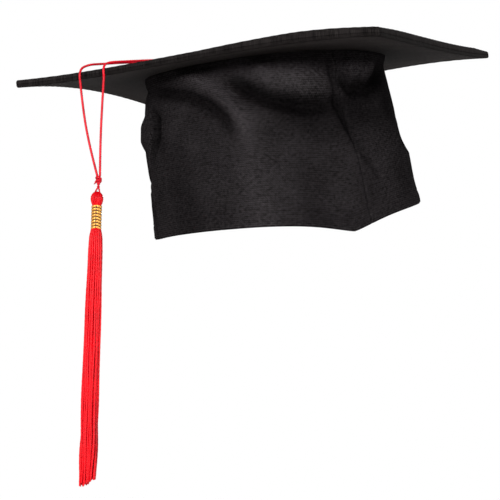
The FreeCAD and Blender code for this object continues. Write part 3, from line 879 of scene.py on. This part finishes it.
def make_lining():
    """The cloth disc inside the crown's top, puckered round the washer and along its stitched rim."""
    rows, columns = 60, 360
    radius = np.linspace(WASHER_RADIUS + 1.2, LINING_RADIUS - 0.2, rows)
    angles = 2 * math.pi * np.arange(columns) / columns
    x = np.outer(radius, np.cos(angles))
    y = np.outer(radius, np.sin(angles))
    inner_pucker = np.exp(-(((radius - WASHER_RADIUS) / 8.0) ** 2))[:, None] * np.sin(angles * 22)[None]
    rim_pucker = np.exp(-(((LINING_RADIUS - 3.0 - radius) / 3.0) ** 2))[:, None] * np.sin(angles * 66)[None]
    waves = smooth_noise(np.stack([x, y, np.full_like(x, 40.0)], axis=2), 22.0, 6)
    relief = 0.16 * inner_pucker + 0.10 * rim_pucker + 0.10 * waves
    grids = []
    for depth in (0.62, 0.20):
        share = 1.0 if depth > 0.3 else 0.2
        z = CROWN_HEIGHT + board_sag(x, y) - depth - share * np.clip(relief, -0.22, 0.22)
        grids.append(to_row(np.stack([x, y, z], axis=2)))
    uv = np.stack([x, y], axis=2)
    flip = [np.flip(grid, axis=1) for grid in grids]
    uv = np.flip(uv, axis=1)
    lining = shell_object("crown_lining", flip[0], flip[1], uv, MATERIALS["lining"], closed=True)
    stand_in(lining, "cap", "crown_lining_disc")


# ---- button

def make_button():
    """The cloth on the button: a dome whose rim is drawn in underneath with small gathers."""
    low = CROWN_HEIGHT + BOARD_THICKNESS + BUTTON_FOOT
    rows, columns = 44, 144
    way = np.linspace(0.004, 1.0, rows)
    angles = 2 * math.pi * np.arange(columns) / columns
    radius = np.where(way < 0.75, BUTTON_RADIUS * np.sin(way / 0.75 * math.pi / 2), BUTTON_RADIUS)
    height = np.where(way < 0.75, low + 1.8 + 4.2 * np.cos(way / 0.75 * math.pi / 2), low + 1.8)
    under = np.clip((way - 0.75) / 0.25, 0, 1)
    radius = np.where(way < 0.75, radius, BUTTON_RADIUS - 2.6 * under ** 2)
    height = np.where(way < 0.75, height, low + 1.8 * (1 - np.sin(under * math.pi / 2)))
    gather = np.sin(angles * 40 + np.sin(angles * 7)) * 0.12
    grids = []
    for inset in (0.0, 0.5):
        grid = np.zeros((rows, columns, 3))
        reach = radius[:, None] - inset + gather[None] * (under[:, None] > 0) * under[:, None]
        grid[:, :, 0] = reach * np.cos(angles)[None]
        grid[:, :, 1] = reach * np.sin(angles)[None]
        grid[:, :, 2] = height[:, None] - inset * np.cos(np.clip(way / 0.75, 0, 1) * math.pi / 2)[:, None]
        grids.append(to_row(grid))
    across = way * 2 * BUTTON_RADIUS
    uv = np.stack([np.outer(across, np.cos(angles)), np.outer(across, np.sin(angles))], axis=2)
    cover = shell_object("button_cloth", grids[0], grids[1], uv, MATERIALS["board"], closed=True)
    set_painted_shading(cover, np.ones((rows, columns)))
    stand_in(cover, "cap", "button_cover")


def make_collar():
    """The button's stem, wound with black thread."""
    low = CROWN_HEIGHT + BOARD_THICKNESS + 0.1
    high = CROWN_HEIGHT + BOARD_THICKNESS + 4.1
    way = np.linspace(0, 1, 240)
    turn = way * 5 * 2 * math.pi
    reach = np.full_like(way, COLLAR_RADIUS - 0.48)
    height = low + 0.45 + (high - low - 0.9) * way
    path = round_axis(reach, turn, height)
    thread = tube_parts(to_row(path) / MM, 0.44, lobes=2, pitch=2.2, sides=10)
    core = []
    for rise in np.linspace(0.1, high - low - 0.1, 9):
        ring_turn = np.linspace(0, 2 * math.pi, 49)
        ring = round_axis(5.3, ring_turn, low + rise)
        core.append(tube_parts(to_row(ring) / MM, 0.42, sides=8))
    thread_piece("button_stem_thread", [thread] + core, "thread", "cap", "button_collar")


# ---- tassel

def make_knot():
    """An overhand knot: the two strands wrap once round themselves."""
    wrap = np.linspace(0, 2 * math.pi, 90, endpoint=False)
    paths = []
    for lift, reach, phase in ((0.9, 1.35, 0.0), (-0.75, 1.30, 2.2)):
        x = reach * np.cos(wrap + phase)
        y = reach * 0.95 * np.sin(wrap + phase)
        z = lift + 0.75 * np.sin(wrap + phase * 1.3)
        ring = x[:, None] * ALONG_EDGE + y[:, None] * OUTWARD
        ring[:, 2] += z
        paths.append(KNOT + np.concatenate([ring, ring[:1]]))
    parts = [tube_parts(path, 0.72, lobes=3, pitch=3.6, swell=0.13, sides=12) for path in paths]
    through = KNOT + np.outer(np.linspace(2.5, -2.4, 14), [0, 0, 1])
    for side in (-1, 1):
        lean = np.outer(np.linspace(0.75, 0.35, 14) * side, ALONG_EDGE)
        parts.append(tube_parts(through + lean, 0.68, lobes=3, pitch=3.6, sides=12))
    thread_piece("cord_knot", parts, "cord", "cord_loop", "loop_knot")
    tail_path = KNOT + np.array([[0, 0, -1.2]]) - np.outer([0.4, 1.0, 1.5, 1.9, 2.2], ALONG_EDGE)
    tail_path[:, 2] += np.array([0, 0.1, 0.1, -0.1, -0.5])
    plies = [tube_parts(tail_path, [0.6, 0.6, 0.55, 0.6, 0.65], lobes=3, pitch=3.0, sides=12)]
    tip = tail_path[-1]
    for k in range(7):
        splay = 0.5 * (math.cos(k * 2.4) * OUTWARD - math.sin(k * 2.4) * ALONG_EDGE)
        end = tip - ALONG_EDGE * 0.4 + splay + np.array([0, 0, -0.5 - 0.08 * k])
        plies.append(tube_parts([tip, (tip + end) / 2 + splay * 0.1, end], 0.12, sides=6))
    thread_piece("cord_tail", plies, "cord", "cord_loop", "knot_tail")


def make_neck():
    height = np.linspace(-2.35, -4.55, 24)
    strands = []
    for phase in (0.0, math.pi):
        turn = phase + (height + 2.35) * 1.9
        path = np.outer(0.42 * np.cos(turn), ALONG_EDGE) + np.outer(0.42 * np.sin(turn), OUTWARD)
        path[:, 2] = height
        strands.append(tube_parts(KNOT + path, 0.45, lobes=2, pitch=1.8, sides=10))
    thread_piece("neck_cord", strands, "cord", "neck", "neck_twist")

    arch = np.array([(-1.75, -8.6), (-1.45, -7.3), (-0.95, -5.9), (-0.4, -5.0), (0.0, -4.75),
                     (0.4, -5.0), (0.95, -5.9), (1.45, -7.3), (1.75, -8.6)])
    route = [ALONG_EDGE * across + np.array([0, 0, down]) for across, down in arch]
    path, _ = spline_points(hung(route), step=0.25)
    tube = tube_parts(path, 0.5, lobes=2, pitch=2.0, sides=10)
    thread_piece("tassel_hanger", [tube], "cord", "hanger", "hanger_loop")


def hung(path):
    """Moves a path drawn under the knot to where the tassel hangs: it leans a little as it falls."""
    path = np.array(path, dtype=float)
    down = -path[:, 2]
    share = np.clip((down - HEAD_BOTTOM) / (FRINGE_TIP - HEAD_BOTTOM), 0, 1)
    lean = -0.75 * np.clip((down - 4.6) / 3.5, 0, 1) - 1.5 * share ** 1.3
    return KNOT + path + np.outer(lean, ALONG_EDGE)


def head_profile(down):
    """Radius of the tassel's head at a depth below the knot."""
    share = np.clip((down - HEAD_TOP) / (HEAD_BOTTOM - HEAD_TOP), 0, 1)
    round_top = np.sqrt(np.clip(1 - (1 - share / 0.48) ** 2, 0, 1))
    lower = 1 - 0.30 * ((share - 0.48) / 0.52) ** 2
    return HEAD_RADIUS * np.where(share < 0.48, round_top, lower)


def make_head():
    down = np.linspace(HEAD_TOP, HEAD_BOTTOM + 0.1, 26)
    inner = np.stack([np.maximum(head_profile(down) - 0.45, 0.3), -down], axis=1)
    parts = [lathe_parts(inner, KNOT - 0.75 * ALONG_EDGE)]
    count = 26
    for k in range(count):
        turn = 2 * math.pi * (k + 0.3 * rng.random()) / count
        way = np.linspace(HEAD_TOP + 0.12, HEAD_BOTTOM + 0.2, 26)
        wander = turn + 0.10 * np.sin((way - HEAD_TOP) * 0.5 + k)
        reach = head_profile(way) - 0.30 + 0.08 * math.sin(k * 2.1)
        path = round_axis(reach, wander, -way)
        parts.append(tube_parts(hung(path), 0.46, lobes=2, pitch=2.6, swell=0.2, sides=8, phase=k))
    thread_piece("tassel_head_threads", parts, "fringe", "tassel", "tassel_head")


def make_binding():
    """Wound gold in eight rows. Each row zigzags between four dark columns round a dark core; the dark core
    and the dark tubes along the columns are painted shade in the gaps of the winding.
    """
    rows = 8
    top, bottom = -HEAD_BOTTOM - 0.8, -BINDING_BOTTOM + 0.8
    angles = np.linspace(0, 2 * math.pi, 145)
    facing = math.radians(FACING)
    column = (angles - facing) / (math.pi / 2)
    to_column = np.abs(column - np.round(column)) * 90.0
    zigzag = 2 * np.abs(2 * ((column / 2.0) % 1.0) - 1) - 1
    parts = []
    for row in range(rows):
        middle = top + (bottom - top) * row / (rows - 1)
        reach = CORE_RADIUS + 0.12 - 0.42 * np.exp(-((to_column / 11.0) ** 2))
        height = middle + 0.52 * zigzag + 0.06 * math.sin(row * 3.1)
        path = round_axis(reach, angles, height)
        parts.append(tube_parts(hung(path), 0.74, lobes=3, pitch=1.5, swell=0.10, sides=12, phase=row))
    thread_piece("gold_binding", parts, "gold", "tassel", "tassel_binding")

    # painted shade: a dark brown core and four dark tubes down the columns show as the shade between the gold
    # rows
    core = np.array([(CORE_RADIUS - 0.15, -HEAD_BOTTOM - 0.05), (CORE_RADIUS - 0.05, -BINDING_BOTTOM + 0.1)])
    shadows = [lathe_parts(core, KNOT - 0.8 * ALONG_EDGE)]
    for k in range(4):
        way = np.linspace(top + 0.3, bottom - 0.3, 100)
        wave = np.sin((way - top) / (bottom - top) * (rows - 1) * 2 * math.pi)
        turn = facing + k * math.pi / 2 + 0.13 * wave
        reach = CORE_RADIUS + 0.36
        path = round_axis(reach, turn, way)
        shadows.append(tube_parts(hung(path), 0.24, sides=8))
    thread_piece("binding_core", shadows, "under_gold", "tassel", "tassel_core")


def fringe_places():
    """Where each strand hangs: a hexagonal packing, as (across, outward) in strand widths."""
    places = []
    for ring in range(4):
        count = max(6 * ring, 1)
        for k in range(count):
            turn = 2 * math.pi * k / count + 0.26 * ring
            places.append((ring * math.cos(turn), ring * math.sin(turn), ring))
    for k in range(18):
        turn = 2 * math.pi * (k + 0.5) / 18
        places.append((3.75 * math.cos(turn), 3.75 * math.sin(turn), 4))
    return places


def make_fringe():
    """Twisted threads from under the binding to their uneven cut ends."""
    start = BINDING_BOTTOM - 0.6
    bundles = [[] for _ in range(7)]
    for index, (across, out, ring) in enumerate(fringe_places()):
        tip = FRINGE_TIP - 1.8 * rng.random() - 5.0 * (across / 3.75 + 1) / 2
        down = np.linspace(start, tip, 110)
        share = (down - start) / (FRINGE_TIP - start)
        flare = np.interp(down - start, [0, 5, 14, 40, 80, 157], [0.60, 0.84, 0.94, 1.04, 1.09, 1.04])
        pitch = 1.10 * flare
        sway = 0.55 * share ** 0.8
        sway_a = sway * np.sin(down * 0.045 + index * 1.7) + 0.22 * share * np.sin(down * 0.13 + index)
        sway_b = sway * np.cos(down * 0.038 + index * 2.3)
        stray = 0.0
        if ring == 4 and index % 7 == 3:
            stray = 1.3 * np.exp(-(((share - 0.86) / 0.10) ** 2))
        reach = 1.0 + stray / 4.4
        side = across * pitch * reach + sway_a
        depth = out * pitch * reach + sway_b
        path = np.outer(side, ALONG_EDGE) + np.outer(depth, OUTWARD)
        path[:, 2] = -down
        width = np.interp(down - start, [0, 8, 150, 157], [0.52, 0.66, 0.66, 0.56])
        part = tube_parts(hung(path), width, lobes=2, pitch=4.6, swell=0.07, sides=8, phase=index * 0.9)
        if ring <= 1:
            bundles[6].append(part)
        else:
            bundles[int((math.atan2(out, across) / (2 * math.pi) % 1.0) * 6)].append(part)
    for number, parts in enumerate(bundles, start=1):
        node = "fringe_bundle_%d" % number
        thread_piece("fringe_threads_%d" % number, parts, "fringe", "tassel", node)


# ---- CAD pieces that stay

def box_uv(obj):
    """A UV map in millimetres, from above, for a CAD piece."""
    layer = obj.data.uv_layers.get("cloth") or obj.data.uv_layers.new(name="cloth")
    inverse = CAP_TO_ROW.transposed()
    for loop, entry in zip(obj.data.loops, layer.data):
        place = inverse @ obj.data.vertices[loop.vertex_index].co / MM
        entry.uv = (place.x, place.y + place.z)


def dress_frame_nodes():
    kept = {
        "board_stiffener": "card",
        "button_shell": "metal",
        "button_back": "metal",
        "button_shank": "metal",
        "button_washer": "metal",
    }
    for node, material in kept.items():
        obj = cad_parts[node]
        box_uv(obj)
        obj.data.materials.clear()
        obj.data.materials.append(MATERIALS[material])


make_camera()
MATERIALS = make_materials()
make_cords()
make_stage()
make_board_covers()
make_crown()
make_hem()
make_lining()
make_button()
make_collar()
make_knot()
make_neck()
make_head()
make_binding()
make_fringe()
dress_frame_nodes()
